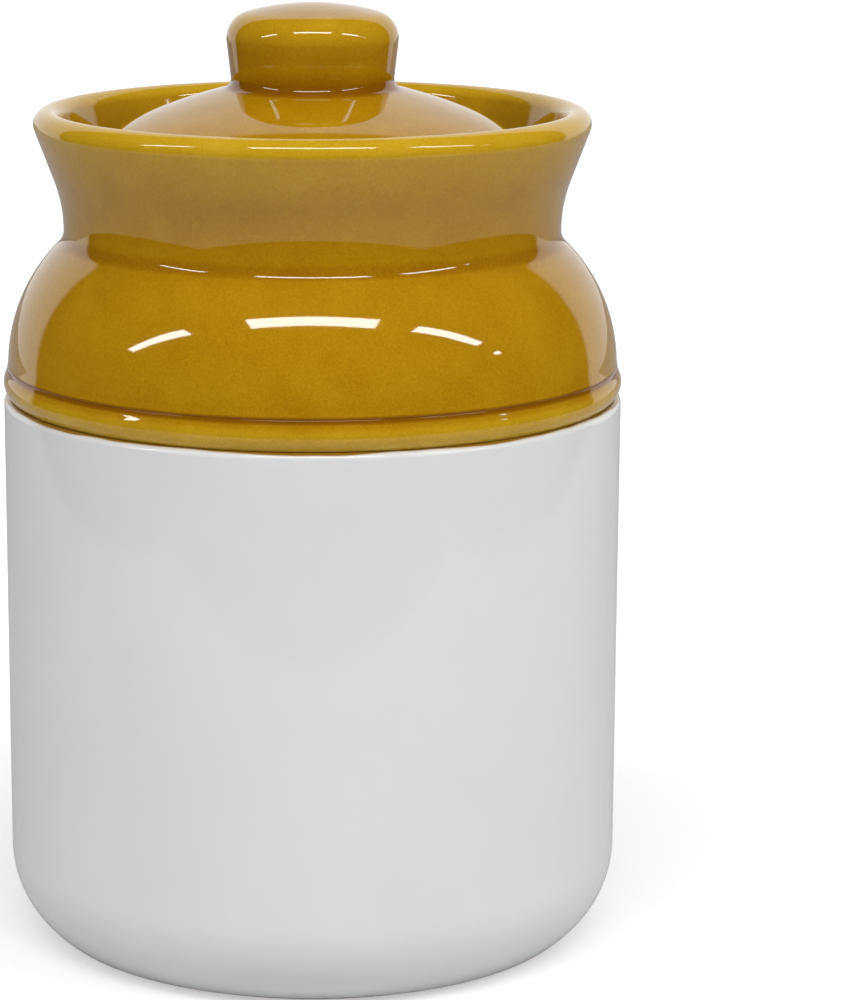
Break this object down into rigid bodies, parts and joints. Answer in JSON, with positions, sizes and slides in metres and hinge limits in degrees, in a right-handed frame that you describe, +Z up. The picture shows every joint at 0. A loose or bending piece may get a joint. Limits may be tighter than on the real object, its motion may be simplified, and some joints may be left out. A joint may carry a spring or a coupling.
{
  "type": "water seal pickle jar",
  "caption": "Glazed stoneware pickle jar with a flared collar round a water gutter, and a domed lid with a round knob that stands in the gutter.",
  "frame": {"origin": "centre of the foot ring, on the surface that the jar stands on", "axes": "+Z up along the jar's axis, -Y towards the viewer of the picture"},
  "size_m": [0.15, 0.15, 0.2277],
  "materials": {
    "stoneware": "fired clay under the glaze",
    "bare_stoneware": "bare matt fired clay",
    "white_glaze": "glossy white glaze",
    "amber_glaze": "glossy amber glaze, paler where it is thin",
    "pale_glaze": "glossy pale glaze"
  },
  "bodies": {
    "jar": {"foot_ring": "bare_stoneware", "pot_wall": "stoneware", "shoulder_ring": "stoneware", "gutter_ring": "stoneware", "collar": "stoneware", "throat_ring": "stoneware", "white_glaze": "white_glaze", "amber_glaze": "amber_glaze", "liner_glaze": "pale_glaze"},
    "lid": {"lid_dome": "stoneware", "lid_skirt": "bare_stoneware", "lid_knob": "stoneware", "lid_glaze": "amber_glaze", "lid_liner": "pale_glaze"}
  },
  "joints": [
    {"name": "lid_lift", "type": "slide", "parent": "jar", "child": "lid", "axis": [0, 0, 1], "range_m": [0, 0.12]}
  ]
}
